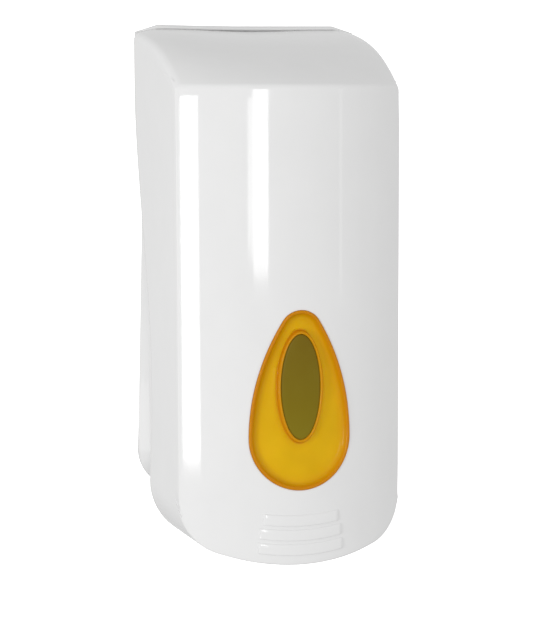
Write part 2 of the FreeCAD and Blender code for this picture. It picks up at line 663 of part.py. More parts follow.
def pump_end_cap():
    cap = along_y(15.5, BODY_FRONT + 10, BODY_FRONT - 2.5)
    cap = cap.cut(along_y(BODY_R, BODY_FRONT + 11, BODY_FRONT))
    return cap.cut(along_y(ROD_R + RUNNING, BODY_FRONT + 1, BODY_FRONT - 4))


def seal_ring(outer):
    """A ring in the piston's seal groove, out to a radius."""
    return along_y(outer, *SEAL_Y).cut(along_y(SEAL_CORE_R, CROWN_Y, CROWN_Y - 7))


def pump_piston():
    crown = along_y(BORE_R - 0.1, CROWN_Y, CROWN_Y - 7)
    crown = crown.cut(seal_ring(BORE_R + 1))
    stem = along_y(ROD_R, CROWN_Y - 6, ROD_TIP)
    ball = Part.makeSphere(8.0, V(0, ROD_TIP + 8.0, PUMP_Z))
    dome = stem.common(ball.fuse(along_y(ROD_R + 1, CROWN_Y, ROD_TIP + 8.0)))
    return crown.fuse(dome).removeSplitter()


def piston_seal():
    return seal_ring(BORE_R - 0.02)


def pump_spring():
    """A helical compression spring between the cylinder's blind end and the piston's crown."""
    mean_r, wire_r, turns = 7.2, 0.55, 7
    length = BORE_REAR - CROWN_Y - 2 * wire_r - 0.1
    helix = Part.makeHelix(length / turns, length, mean_r)
    profile = Part.Wire(Part.makeCircle(wire_r, V(mean_r, 0, 0), V(0, 1, 0)))
    coil = Part.Wire(helix.Edges).makePipeShell([profile], True, True)
    coil.rotate(V(0, 0, 0), V(1, 0, 0), 90)
    coil.translate(V(0, BORE_REAR - wire_r - 0.05, PUMP_Z))
    return coil


def pump_screws():
    screws = []
    for x in (-SCREW_X, SCREW_X):
        screw = along_y(1.5, -15, BORE_REAR, x).fuse(along_y(3.2, BORE_REAR, BORE_REAR - 2.2, x))
        slot = box((x - 4, x + 4), (BORE_REAR - 1.2, BORE_REAR - 3), (PUMP_Z - 0.4, PUMP_Z + 0.4))
        screws.append(screw.cut(slot).removeSplitter())
    return Part.makeCompound(screws)


def inlet_valve():
    """A disc on the floor of the pump's socket, with a guide stem in the port."""
    disc = rod(6.5, (0, PORT_Y, SOCKET_LOW), (0, PORT_Y, SOCKET_LOW + 1))
    stem = rod(1.2, (0, PORT_Y, SOCKET_LOW - 3.5), (0, PORT_Y, SOCKET_LOW))
    return disc.fuse(stem).removeSplitter()


def outlet_valve():
    """A duckbill: a flange and a tapering rubber beak."""
    low, high = VALVE_SEAT + 0.1, VALVE_SEAT + 1.4
    flange = rod(6.3, (0, PORT_Y, low), (0, PORT_Y, high))
    beak = Part.makeCone(4.2, 2.0, 7.5, V(0, PORT_Y, low), V(0, 0, -1))
    bore = Part.makeCone(3.2, 1.0, 7.0, V(0, PORT_Y, high), V(0, 0, -1))
    return flange.fuse(beak).cut(bore).removeSplitter()


def spout():
    body = rod(SPOUT_R, (0, PORT_Y, SPOUT_TAPER), (0, PORT_Y, 44))
    taper = Part.makeCone(SPOUT_R, 5.8, SPOUT_TAPER - SPOUT_LOW, V(0, PORT_Y, SPOUT_TAPER), V(0, 0, -1))
    bore = rod(4.6, (0, PORT_Y, SPOUT_LOW - 1), (0, PORT_Y, VALVE_SEAT + 1))
    socket = rod(6.5, (0, PORT_Y, VALVE_SEAT), (0, PORT_Y, 45))
    return body.fuse(taper).cut(bore).cut(socket).removeSplitter()


PIECES = [
    back_plate, front_cover, window_lens, sight_glass, lens_gasket, lens_retainer,
    push_lever, pivot_pins, tank, tank_lid, lid_seal, tank_seal,
    pump_body, pump_end_cap, pump_piston, piston_seal, pump_spring, pump_screws,
    inlet_valve, outlet_valve, spout,
    lock_body, lock_plug, lock_cam, lock_nut, lock_screw,
]

os.makedirs("parts", exist_ok=True)
for piece in PIECES:
    save(piece.__name__, piece())
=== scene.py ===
"""Looks of the wall mounted soap dispenser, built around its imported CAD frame.

Sizes are in millimetres and heights count from the lower lip in the middle of the cover's
front, as in the part's source; `place` turns such a point into the frame's metres. The front
faces -Y.
"""

import json
import math

import bmesh
import bpy
from mathutils import Matrix, Vector


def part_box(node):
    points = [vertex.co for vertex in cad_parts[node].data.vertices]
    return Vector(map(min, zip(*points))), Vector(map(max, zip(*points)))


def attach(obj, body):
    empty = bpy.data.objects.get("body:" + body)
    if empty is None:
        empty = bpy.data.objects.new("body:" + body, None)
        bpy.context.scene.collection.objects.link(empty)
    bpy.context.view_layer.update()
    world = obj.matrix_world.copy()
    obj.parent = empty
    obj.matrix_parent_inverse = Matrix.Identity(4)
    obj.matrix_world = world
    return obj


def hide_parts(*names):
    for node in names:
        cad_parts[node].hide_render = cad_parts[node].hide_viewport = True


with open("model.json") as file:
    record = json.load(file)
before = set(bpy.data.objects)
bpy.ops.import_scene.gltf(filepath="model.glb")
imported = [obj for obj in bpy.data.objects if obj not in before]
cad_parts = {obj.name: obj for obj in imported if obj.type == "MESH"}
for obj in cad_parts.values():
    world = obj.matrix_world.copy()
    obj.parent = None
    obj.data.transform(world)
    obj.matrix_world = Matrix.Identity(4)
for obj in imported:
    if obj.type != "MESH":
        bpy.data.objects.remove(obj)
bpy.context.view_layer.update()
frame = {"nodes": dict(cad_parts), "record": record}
nodes = frame["nodes"]

MM = 0.001
ORIGIN_HEIGHT = 150.0

# Cover, the same driving sizes as the CAD part
WALL = 2.2
HALF_REAR = 66.4
HALF_FRONT = 62.0
CREASE_DEPTH = 94.0
FRONT_DEPTH = 116.0
EDGE_HEIGHT = 254.4
REAR_MIDDLE = 287.7
REAR_SHOULDER = 288.8
REAR_CORNER = 285.7
SHOULDER_X = 52.0
LIP_RADIUS = 135.0
CORNER_RADIUS = 27.0
CORNER_GROWTH = 0.12
FLOOR_SLOPE = 0.07
REAR_LOW = -31.0
REAR_MID = -36.8
REAR_TOP = -5.6
NOTCH_HALF = 24.0
NOTCH_DEPTH = -68.0
FRONT_BOW = FRONT_DEPTH - CREASE_DEPTH
FRONT_R = (HALF_FRONT ** 2 + FRONT_BOW ** 2) / (2 * FRONT_BOW)
FRONT_AXIS_Y = FRONT_R - FRONT_DEPTH

# Rounding of the cover's edges
TOP_SIDE_R = 3.4          # where the top meets the sides
TOP_EDGE = 2.0            # where the top meets the front
CREASE_EDGE = 0.5         # where the front meets the sides
LIP_EDGE = 1.1            # round the lower lip

# Lens outline and sight glass
TEAR_WIDE_R = 28.0
TEAR_WIDE_Z = 68.5
TEAR_SIDE_R = 119.0
TEAR_TOP_Z = 137.0
TEAR_SIDE_X = TEAR_WIDE_R - TEAR_SIDE_R
TEAR_RISE = TEAR_TOP_Z - TEAR_WIDE_Z
TEAR_TOP_R = (TEAR_SIDE_R ** 2 - TEAR_SIDE_X ** 2 - TEAR_RISE ** 2) / (2 * (TEAR_SIDE_R - TEAR_RISE))
SIGHT_Z = 95.9
SIGHT_HALF_X = 10.8
SIGHT_HALF_Z = 28.1
HOLE_X = 36.0             # the rectangle of the front's grid that a ring round the lens fills
HOLE_LOW = 34.0
HOLE_HIGH = 144.0

# Grip bars
BAR_HALVES = [20.8, 22.6, 23.4]
BAR_TOP = 27.3
BAR_PITCH = 7.9
BAR_HEIGHT = 6.2
BAR_ARC_R = 147.0
BAR_SINK = 0.5            # how far the bars reach into the cover

# Behind the cover, as in the CAD part
STAKES = [(22.0, 122.0), (30.5, 53.0)]
STAKE_R = 1.5
STAKE_HEAD_R = 2.4
PIVOT_Y = -34.0
PIVOT_Z = 276.0
EAR = (55.3, 63.4)
EAR_R = 4.0
EAR_BORE_R = 2.55
PAD_X = (40.0, 50.0)
PAD_Y = -92.3
PAD_Z = (54.0, 66.0)
PAD_SINK = 1.2
LOCK_Y = -100.0
LOCK_BOSS_TOP = 14.2
LOCK_BOSS_R = 9.5
LOCK_HEAD_R = 7.3
LOCK_BORE_R = 6.1
TANK_HALF = 48.0
TANK_REAR = -6.0
TANK_FRONT = -82.0
TANK_LOW = 90.0
TANK_HIGH = 230.0
TANK_REAR_R = 10.0        # upright corners
TANK_FRONT_R = 18.0
TANK_FOOT_R = 5.0         # edges of the bottom and the shoulder
TANK_SHOULDER_R = 7.0
TANK_WALL = 1.8
GROOVE_HEIGHTS = (128.0, 192.0)
PORT_Y = -35.5
PORT_R = 6.0
NECK_Y = -56.0
NECK_R = 21.0
NECK_TOP = 238.0
QUARTER = 13              # points in each quarter of the tank's rings

# Top edge of the wall plate: straight in the middle, then falling at the corners
PLATE_STRAIGHT_X = 52.0
PLATE_CORNER_X = 61.0
PLATE_CORNER_FALL = 4.0 / 12.6
PLATE_SAG = 0.5
PLATE_FACE_Y = -2.5

# Camera: degrees, millimetres, and a lens for a 36 mm sensor
CAMERA_TURN = 15.30
CAMERA_TILT = 6.38
CAMERA_ROLL = -0.23
CAMERA_PLACE = (-273.2, -1044.9, 240.9)
CAMERA_LENS = 104.51
CAMERA_SENSOR = 36

# Radiance of the studio by the height of the direction, from straight down to straight up
WORLD_STOPS = [(-1.0, 0.40), (-0.6, 0.54), (-0.1, 0.735), (0.35, 0.735), (1.0, 0.555)]

# Area lights: name, azimuth and elevation in degrees, width, height and distance in metres, radiance
SOFTBOXES = [
    ("key_strip", -54.3, -4.0, 0.31, 0.51, 1.5, 9.0),
    ("front_strip", -9.9, 3.6, 0.325, 0.575, 2.0, 7.0),
    ("front_strip_edge", -16.2, 0.0, 0.115, 0.25, 2.0, 4.0),
    ("side_fill", -115.0, 5.0, 0.8, 1.2, 1.8, 0.5),
    ("right_strip", 41.6, 4.0, 0.05, 0.5, 1.5, 1.0),
]


def place(x, y, z):
    """A point in the script's millimetres, in the frame's metres."""
    return Vector((x * MM, y * MM, (z - ORIGIN_HEIGHT) * MM))


def blend(a, b, share):
    return a + (b - a) * share


def ease(share):
    """A smooth step from 0 to 1."""
    share = min(1.0, max(0.0, share))
    return share * share * (3 - 2 * share)


def steps(start, stop, size):
    """Evenly spaced values from start to stop, about one size apart."""
    count = max(1, round(abs(stop - start) / size))
    return [blend(start, stop, k / count) for k in range(count + 1)]


# ---------------------------------------------------------------- mesh helpers

def make_piece(name, shape, body, slot, sharp=40, closed=True):
    """A mesh piece from millimetre points and faces, smooth but for its sharp edges."""
    points, faces = shape
    mesh = bpy.data.meshes.new(name)
    mesh.from_pydata([place(*p) for p in points], [], faces)
    mesh.validate()
    if closed:
        work = bmesh.new()
        work.from_mesh(mesh)
        bmesh.ops.recalc_face_normals(work, faces=work.faces)
        work.to_mesh(mesh)
        work.free()
    obj = bpy.data.objects.new(name, mesh)
    bpy.context.scene.collection.objects.link(obj)
    obj.data.materials.append(MATERIALS[slot])
    smooth(obj, sharp)
    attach(obj, body)
    return obj


def smooth(obj, sharp):
    obj.data.polygons.foreach_set("use_smooth", [True] * len(obj.data.polygons))
    obj.data.set_sharp_from_angle(angle=math.radians(sharp))


def apply_modifiers(obj, sharp=40):
    """Turns what the modifiers make into the object's own mesh."""
    graph = bpy.context.evaluated_depsgraph_get()
    mesh = bpy.data.meshes.new_from_object(obj.evaluated_get(graph))
    obj.modifiers.clear()
    obj.data = mesh
    smooth(obj, sharp)


def round_edges(obj, width, segments, angle):
    """A bevel in millimetres on every edge sharper than the angle."""
    bevel = obj.modifiers.new("round", "BEVEL")
    bevel.width = width * MM
    bevel.segments = segments
    bevel.limit_method = "ANGLE"
    bevel.angle_limit = math.radians(angle)
    bevel.use_clamp_overlap = False


def ring_faces(count, rings, closed=False):
    """Quads between successive rings of the same number of points."""
    faces = []
    for k in range(rings if closed else rings - 1):
        a, b = k * count, (k + 1) % rings * count
        for i in range(count):
            j = (i + 1) % count
            faces.append((a + i, a + j, b + j, b + i))
    return faces


def bridge(first, second, flip):
    """Quads between two closed loops of point numbers."""
    quads = []
    for i in range(len(first)):
        j = (i + 1) % len(first)
        a, b = (j, i) if flip else (i, j)
        quads.append((first[a], first[b], second[b], second[a]))
    return quads


def fan(count, first, centre, flip=False):
    """Triangles from a ring to a centre point."""
    tris = [(first + i, first + (i + 1) % count, centre) for i in range(count)]
    return [t[::-1] for t in tris] if flip else tris


def join(*shapes):
    """One list of points and one of faces from several."""
    points, faces = [], []
    for more_points, more_faces in shapes:
        first = len(points)
        points += more_points
        faces += [tuple(first + i for i in face) for face in more_faces]
    return points, faces


def lathe(profile, origin, axis="Z", count=64, ribs=0, solid=False):
    """Turns a (radius, along, rib depth) profile round an axis: a closed tube, or a solid whose
    two ends close at the axis."""
    points = []
    for radius, along, depth in profile:
        for i in range(count):
            a = 2 * math.pi * i / count
            r = radius - depth * (0.5 + 0.5 * math.cos(ribs * a))
            across, up = r * math.cos(a), r * math.sin(a)
            turned = {"X": (along, across, up), "Y": (across, along, up), "Z": (across, up, along)}[axis]
            points.append(tuple(o + t for o, t in zip(origin, turned)))
    faces = ring_faces(count, len(profile), closed=not solid)
    if solid:
        for ring, (_, along, _) in ((0, profile[0]), (len(profile) - 1, profile[-1])):
            turned = {"X": (along, 0, 0), "Y": (0, along, 0), "Z": (0, 0, along)}[axis]
            faces += fan(count, ring * count, len(points))
            points.append(tuple(o + t for o, t in zip(origin, turned)))
    return points, faces


def block(x, y, z):
    """A box from three (low, high) pairs, to be rounded by a bevel."""
    points = [(a, b, c) for c in z for b in y for a in x]
    faces = [(0, 2, 3, 1), (4, 5, 7, 6), (0, 1, 5, 4), (2, 6, 7, 3), (0, 4, 6, 2), (1, 3, 7, 5)]
    return points, faces


def mirrored(shape):
    """A shape and its mirror image across the middle plane."""
    points, faces = shape
    return join(shape, ([(-x, y, z) for x, y, z in points], [face[::-1] for face in faces]))


# ---------------------------------------------------------------- cover geometry

def half_width(y):
    """Half the cover's width at a depth; it narrows towards the front."""
    return HALF_REAR + (HALF_REAR - HALF_FRONT) * y / CREASE_DEPTH


def front_y(x):
    """Depth of the bowed front."""
    return FRONT_AXIS_Y - math.sqrt(FRONT_R ** 2 - x ** 2)


def front_point(x, z, out=0.0):
    """A point of the bowed front, moved out along its normal."""
    y = front_y(x)
    return (x + out * x / FRONT_R, y + out * (y - FRONT_AXIS_Y) / FRONT_R, z)


def rear_height(x):
    """Height of the top along its rear edge: highest at the shoulders."""
    reach = abs(x) / SHOULDER_X
    if reach <= 1:
        return REAR_MIDDLE + (REAR_SHOULDER - REAR_MIDDLE) * math.sin(reach * math.pi / 2) ** 2
    fall = (abs(x) - SHOULDER_X) / (HALF_REAR - SHOULDER_X)
    return REAR_SHOULDER - (REAR_SHOULDER - REAR_CORNER) * fall ** 2


def crown_height(x, y, half):
    """Height of the top, with its rounded edge to the side."""
    share = y / front_y(x)
    drop = 0.46 * share + 0.54 * abs(share) ** 3
    z = EDGE_HEIGHT + (rear_height(x) - EDGE_HEIGHT) * (1 - drop)
    into = min(TOP_SIDE_R, max(0.0, abs(x) - half + TOP_SIDE_R))
    return z - TOP_SIDE_R + math.sqrt(TOP_SIDE_R ** 2 - into ** 2)


def lip_height(x, y):
    """Height of the cover's foot, with its rounded corners."""
    radius = CORNER_RADIUS + CORNER_GROWTH * (y + CREASE_DEPTH)
    fall = FLOOR_SLOPE * (y + FRONT_DEPTH)
    centre_x = half_width(y) - radius
    link = LIP_RADIUS - radius
    x = abs(x)
    if x <= centre_x * LIP_RADIUS / link:
        return LIP_RADIUS - fall - math.sqrt(LIP_RADIUS ** 2 - x ** 2)
    centre_z = LIP_RADIUS - fall - math.sqrt(link ** 2 - centre_x ** 2)
    return centre_z - math.sqrt(max(0.0, radius ** 2 - (x - centre_x) ** 2))


def bezier(poles, share):
    """A point of a cubic curve through (y, z) poles."""
    weights = [(1 - share) ** 3, 3 * share * (1 - share) ** 2, 3 * share ** 2 * (1 - share), share ** 3]
    return [sum(w * p[k] for w, p in zip(weights, poles)) for k in (0, 1)]


def rear_edge(z):
    """Depth of the rear edge of the cover's sides: a low S that leaves room for the push."""
    foot = [(REAR_LOW, 24), (REAR_LOW, 45), (REAR_MID, 50), (REAR_MID, 80)]
    sweep = [(REAR_MID, 100), (REAR_MID, 140), (-7, 205), (REAR_TOP, 250)]
    poles = foot if z < 90 else sweep
    if z <= poles[0][1]:
        return poles[0][0]
    if z >= poles[3][1]:
        return poles[3][0]
    low, high = 0.0, 1.0
    for _ in range(30):
        share = (low + high) / 2
        if bezier(poles, share)[1] < z:
            low = share
        else:
            high = share
    return bezier(poles, share)[0]


def notch_edge(x):
    """Depth of the floor's rear edge: a notch in its middle lets the spout through."""
    return blend(NOTCH_DEPTH, REAR_LOW, ease((abs(x) - NOTCH_HALF + 1.5) / 3))


def edge_size(share):
    """Rounding along the cover's front outline, larger at the foot and the top."""
    return blend(blend(LIP_EDGE, CREASE_EDGE, ease(share / 0.1)), TOP_EDGE, ease((share - 0.9) / 0.1))


def belt_point(kind, value, depth_share, inset):
    """A point of the cover's foot, side or crown, from its rear edge to its front edge.

    value is X on the front for foot and crown. For a side it is a sign and a share of its height.
    """
    if kind == "side":
        sign, share = value
        y_front = -CREASE_DEPTH + inset
        y_rear = REAR_TOP
        for _ in range(12):
            half = half_width(y_rear)
            low, high = lip_height(half, y_rear), crown_height(half, y_rear, half)
            y_rear = blend(y_rear, rear_edge(blend(low, high, share)), 0.7)
        y = blend(y_rear, y_front, depth_share)
        half = half_width(y)
        z = blend(lip_height(half, y), crown_height(half, y, half), share)
        return (sign * half, y, z)
    y_front = front_y(value) + inset
    if kind == "foot":
        y = blend(notch_edge(value), y_front, depth_share)
    else:
        y = blend(REAR_TOP, y_front, depth_share)
    half = half_width(y)
    x = value * half / half_width(front_y(value))
    return (x, y, lip_height(x, y) if kind == "foot" else crown_height(x, y, half))


def front_grid_point(x, share):
    """A point of the front between the foot's outline and the top edge."""
    x *= 1 - edge_size(share) / HALF_FRONT
    y = front_y(x)
    low = lip_height(x, y) + LIP_EDGE
    high = crown_height(x, y, half_width(y)) - TOP_EDGE
    return front_point(x, blend(low, high, share))


def tear_depth(x, z):
    """How far a point of the front lies inside the lens outline."""
    x = abs(x)
    if z <= TEAR_WIDE_Z:
        return TEAR_WIDE_R - math.hypot(x, z - TEAR_WIDE_Z)
    top_z = TEAR_TOP_Z - TEAR_TOP_R
    if math.atan2(z - TEAR_WIDE_Z, x - TEAR_SIDE_X) < math.atan2(top_z - TEAR_WIDE_Z, -TEAR_SIDE_X):
        return TEAR_SIDE_R - math.hypot(x - TEAR_SIDE_X, z - TEAR_WIDE_Z)
    return TEAR_TOP_R - math.hypot(x, z - top_z)


def tear_point(angle, inset):
    """Where a ray from the sight glass's middle meets the lens outline, moved in by the inset."""
    low, high = 0.0, 120.0
    for _ in range(40):
        reach = (low + high) / 2
        if tear_depth(reach * math.cos(angle), SIGHT_Z + reach * math.sin(angle)) > inset:
            low = reach
        else:
            high = reach
    return reach * math.cos(angle), SIGHT_Z + reach * math.sin(angle)


def sight_point(angle, grow):
    """Where the same ray meets the sight glass's ellipse, grown all round."""
    a, b = SIGHT_HALF_X + grow, SIGHT_HALF_Z + grow
    reach = 1 / math.hypot(math.cos(angle) / a, math.sin(angle) / b)
    return reach * math.cos(angle), SIGHT_Z + reach * math.sin(angle)


def cover_columns():
    """X of the front's grid lines, close together at the corners."""
    right = steps(0, HOLE_X, 2.25)
    centre_x = HALF_FRONT - CORNER_RADIUS
    start = math.asin(centre_x / (LIP_RADIUS - CORNER_RADIUS))
    right += [centre_x + CORNER_RADIUS * math.sin(a) for a in steps(start, math.pi / 2, 0.11)]
    right += [HALF_FRONT - TOP_SIDE_R + TOP_SIDE_R * math.sin(a) for a in steps(0, math.pi / 2, 0.22)]
    right = sorted(set(round(x, 4) for x in right))
    kept = [right[0]]
    for x in right[1:]:
        if x - kept[-1] > 0.05 or x == right[-1]:
            kept.append(x)
    return [-x for x in reversed(kept[1:])] + kept


def cover_rows():
    """Height shares of the front's grid lines, with one at each end of the ring round the lens."""
    heights = steps(0, HOLE_LOW, 2.6) + steps(HOLE_LOW, HOLE_HIGH, 4.2)[1:]
    return [h / EDGE_HEIGHT for h in heights + steps(HOLE_HIGH, EDGE_HEIGHT, 4.6)[1:]]


def border(left, right, bottom, top):
    """Grid places anticlockwise round a rectangle, from its lower left corner."""
    around = [(i, bottom) for i in range(left, right)] + [(right, k) for k in range(bottom, top)]
    around += [(i, top) for i in range(right, left, -1)]
    return around + [(left, k) for k in range(top, bottom, -1)]


def lens_rings(outer):
    """Loops of the front's points, from a loop of its grid in to the lens outline."""
    rim = [tear_point(math.atan2(z - SIGHT_Z, x), 0.0) for x, _, z in outer]
    rings = 8
    loops = []
    for ring in range(1, rings + 1):
        share = ring / rings
        loops.append([front_point(blend(p[0], x, share), blend(p[2], z, share))
                      for p, (x, z) in zip(outer, rim)])
    return loops


def belt_loops(inner, entries, sizes):
    """Loops from the front's outline round its edge and back over the foot, sides and crown."""
    corner = [belt_point(*e, 1.0, 0.0) for e in entries]
    start = [belt_point(*e, 1.0, s) for e, s in zip(entries, sizes)]
    bends, depths = 5, 18
    pull = 0.88
    loops = []
    for bend in range(1, bends):
        s = bend / bends
        wa, wc, wb = (1 - s) ** 2, 2 * s * (1 - s) * pull, s ** 2
        loops.append([tuple((wa * p + wc * q + wb * r) / (wa + wc + wb) for p, q, r in zip(a, c, b))
                      for a, c, b in zip(inner, corner, start)])
    for depth in range(depths + 1):
        loops.append([belt_point(*e, 1 - depth / depths, s) for e, s in zip(entries, sizes)])
    return loops


def cover_skin():
    """Points and faces of the cover's outer skin, open at the rear and at the lens."""
    columns, rows = cover_columns(), cover_rows()
    last_column, last_row = len(columns) - 1, len(rows) - 1
    inside = [i for i, x in enumerate(columns) if abs(x) <= HOLE_X + 0.01]
    left, right = inside[0], inside[-1]
    level = [k for k, r in enumerate(rows) if HOLE_LOW - 0.1 <= r * EDGE_HEIGHT <= HOLE_HIGH + 0.1]
    bottom, top = level[0], level[-1]

    points, faces = [], []
    grid = {}
    for i, x in enumerate(columns):
        for k, share in enumerate(rows):
            if not (left < i < right and bottom < k < top):
                grid[i, k] = len(points)
                points.append(front_grid_point(x, share))
    for i in range(last_column):
        for k in range(last_row):
            if not (left <= i < right and bottom <= k < top):
                faces.append((grid[i, k], grid[i + 1, k], grid[i + 1, k + 1], grid[i, k + 1]))

    def extend(around, loops, flip):
        """Joins loop after loop to the grid's places."""
        previous = [grid[spot] for spot in around]
        for loop in loops:
            current = list(range(len(points), len(points) + len(loop)))
            points.extend(loop)
            faces.extend(bridge(previous, current, flip))
            previous = current

    def belt_entry(i, k):
        """What continues the front at a place of its outline."""
        if k == 0:
            return "foot", columns[i]
        if k == last_row:
            return "crown", columns[i]
        return "side", (1 if i else -1, rows[k])

    around = border(left, right, bottom, top)
    extend(around, lens_rings([points[grid[spot]] for spot in around]), flip=False)
    around = border(0, last_column, 0, last_row)
    entries = [belt_entry(i, k) for i, k in around]
    sizes = [edge_size(rows[k]) for i, k in around]
    extend(around, belt_loops([points[grid[spot]] for spot in around], entries, sizes), flip=True)
    return points, faces


# ---------------------------------------------------------------- materials

class Recipe:
    """A procedural material with one Principled shader, fed from the object's own coordinates."""

    def __init__(self, name, ior=1.48, metallic=0.0):
        self.material = bpy.data.materials.new(name)
        self.material.use_nodes = True
        self.tree = self.material.node_tree
        self.shader = self.tree.nodes["Principled BSDF"]
        self.coords = self.tree.nodes.new("ShaderNodeTexCoord").outputs["Object"]
        self.set("IOR", ior)
        self.set("Metallic", metallic)

    def set(self, socket, value):
        self.shader.inputs[socket].default_value = value

    def link(self, a, b):
        self.tree.links.new(a, b)

    def noise(self, scale, detail=3.0, roughness=0.5, stretch=(1, 1, 1)):
        mapping = self.tree.nodes.new("ShaderNodeMapping")
        mapping.inputs["Scale"].default_value = stretch
        self.link(self.coords, mapping.inputs["Vector"])
        node = self.tree.nodes.new("ShaderNodeTexNoise")
        node.inputs["Scale"].default_value = scale
        node.inputs["Detail"].default_value = detail
        node.inputs["Roughness"].default_value = roughness
        self.link(mapping.outputs["Vector"], node.inputs["Vector"])
        return node.outputs["Fac"]

    def remap(self, value, low, high, start=0.3, stop=0.7):
        node = self.tree.nodes.new("ShaderNodeMapRange")
        for socket, number in (("From Min", start), ("From Max", stop), ("To Min", low), ("To Max", high)):
            node.inputs[socket].default_value = number
        self.link(value, node.inputs["Value"])
        return node.outputs["Result"]

    def mix(self, factor, a, b):
        """A colour between two, each a colour or another node's output."""
        node = self.tree.nodes.new("ShaderNodeMix")
        node.data_type = "RGBA"
        self.link(factor, node.inputs["Factor"])
        for socket, colour in ((node.inputs[6], a), (node.inputs[7], b)):
            if isinstance(colour, tuple):
                socket.default_value = (*colour, 1.0)
            else:
                self.link(colour, socket)
        return node.outputs[2]

    def add(self, a, b, share):
        """The first value plus a share of the second."""
        node = self.tree.nodes.new("ShaderNodeMath")
        node.operation = "MULTIPLY_ADD"
        self.link(b, node.inputs[0])
        node.inputs[1].default_value = share
        self.link(a, node.inputs[2])
        return node.outputs[0]

    def attribute(self, name):
        node = self.tree.nodes.new("ShaderNodeAttribute")
        node.attribute_name = name
        return node.outputs["Fac"]

    def edges(self, low, high):
        """1 on convex edges and 0 elsewhere."""
        node = self.tree.nodes.new("ShaderNodeNewGeometry")
        return self.remap(node.outputs["Pointiness"], 0.0, 1.0, low, high)

    def height(self):
        node = self.tree.nodes.new("ShaderNodeSeparateXYZ")
        self.link(self.coords, node.inputs["Vector"])
        return node.outputs["Z"]

    def colour(self, output):
        self.link(output, self.shader.inputs["Base Color"])

    def roughness(self, output):
        self.link(output, self.shader.inputs["Roughness"])

    def bump(self, height, distance, strength=1.0):
        node = self.tree.nodes.new("ShaderNodeBump")
        node.inputs["Distance"].default_value = distance * MM
        node.inputs["Strength"].default_value = strength
        self.link(height, node.inputs["Height"])
        self.link(node.outputs["Normal"], self.shader.inputs["Normal"])


def white_shell_material():
    """High gloss white moulding: faint sink waves, fine orange peel, and handling haze."""
    recipe = Recipe("white_shell")
    waves = recipe.noise(11.0, 1.0, 0.4, (1.0, 1.0, 0.35))
    peel = recipe.noise(520.0, 2.0)
    haze = recipe.noise(38.0, 4.0, 0.62)
    tone = recipe.mix(recipe.remap(haze, 0, 1), (0.856, 0.856, 0.854), (0.873, 0.873, 0.871))
    recipe.colour(recipe.mix(recipe.edges(0.53, 0.6), tone, (0.88, 0.88, 0.88)))
    recipe.roughness(recipe.add(recipe.remap(haze, 0.04, 0.08), peel, 0.02))
    recipe.bump(recipe.add(waves, peel, 0.012), 0.9, 0.35)
    return recipe.material


def white_moulding_material():
    """Satin white moulding with a fine spark-eroded grain."""
    recipe = Recipe("white_moulding")
    grain = recipe.noise(900.0, 3.0, 0.6)
    stain = recipe.noise(30.0, 5.0, 0.6)
    tone = recipe.mix(recipe.remap(stain, 0, 1), (0.74, 0.74, 0.72), (0.79, 0.79, 0.78))
    recipe.colour(recipe.mix(recipe.edges(0.52, 0.6), tone, (0.83, 0.83, 0.82)))
    recipe.roughness(recipe.add(recipe.remap(stain, 0.32, 0.42), grain, 0.1))
    recipe.bump(grain, 0.06, 0.5)
    return recipe.material


def grey_plastic_material():
    recipe = Recipe("grey_plastic")
    grain = recipe.noise(800.0, 3.0, 0.6)
    flow = recipe.noise(24.0, 5.0, 0.65, (1.0, 1.0, 0.3))
    tone = recipe.mix(recipe.remap(flow, 0, 1), (0.23, 0.24, 0.25), (0.29, 0.30, 0.31))
    recipe.colour(recipe.mix(recipe.edges(0.52, 0.6), tone, (0.42, 0.43, 0.44)))
    recipe.roughness(recipe.add(recipe.remap(flow, 0.3, 0.42), grain, 0.12))
    recipe.bump(grain, 0.06, 0.6)
    return recipe.material


def amber_lens_material():
    """Translucent amber: deeper orange in the thick rim, golden in the thin dished face; the same deeper
    orange is also painted shade down the dish's inner wall and in the groove round the sight glass.
    """
    recipe = Recipe("amber_lens", ior=1.42)
    recipe.set("Specular IOR Level", 0.14)
    recipe.set("Transmission Weight", 0.15)
    recipe.set("Subsurface Weight", 0.15)
    recipe.set("Subsurface Radius", (1.0, 0.45, 0.05))
    recipe.set("Subsurface Scale", 0.002)
    cloud = recipe.noise(60.0, 3.0)
    face = recipe.mix(recipe.remap(cloud, 0, 1), (0.86, 0.50, 0.0015), (0.93, 0.55, 0.003))
    # The rim attribute mixes in the deeper orange: the colour of thick amber on the beads, and painted
    # shade on the dish wall and in the groove round the sight glass.
    recipe.colour(recipe.mix(recipe.attribute("rim"), face, (0.72, 0.275, 0.004)))
    recipe.roughness(recipe.remap(cloud, 0.12, 0.2))
    recipe.bump(recipe.noise(480.0, 2.0), 0.01, 0.4)
    return recipe.material


def olive_glass_material():
    """The smoky olive sight glass, a little greener towards its foot."""
    recipe = Recipe("olive_glass", ior=1.42)
    recipe.set("Specular IOR Level", 0.08)
    low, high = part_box("sight_glass")
    rise = recipe.remap(recipe.height(), 0.0, 1.0, low.z, high.z)
    tone = recipe.mix(rise, (0.232, 0.176, 0.010), (0.180, 0.118, 0.009))
    cloud = recipe.noise(70.0, 3.0)
    recipe.colour(recipe.mix(recipe.remap(cloud, 0.0, 0.25), tone, (0.24, 0.19, 0.02)))
    recipe.roughness(recipe.remap(cloud, 0.2, 0.3))
    recipe.bump(recipe.noise(420.0, 2.0), 0.01, 0.4)
    return recipe.material


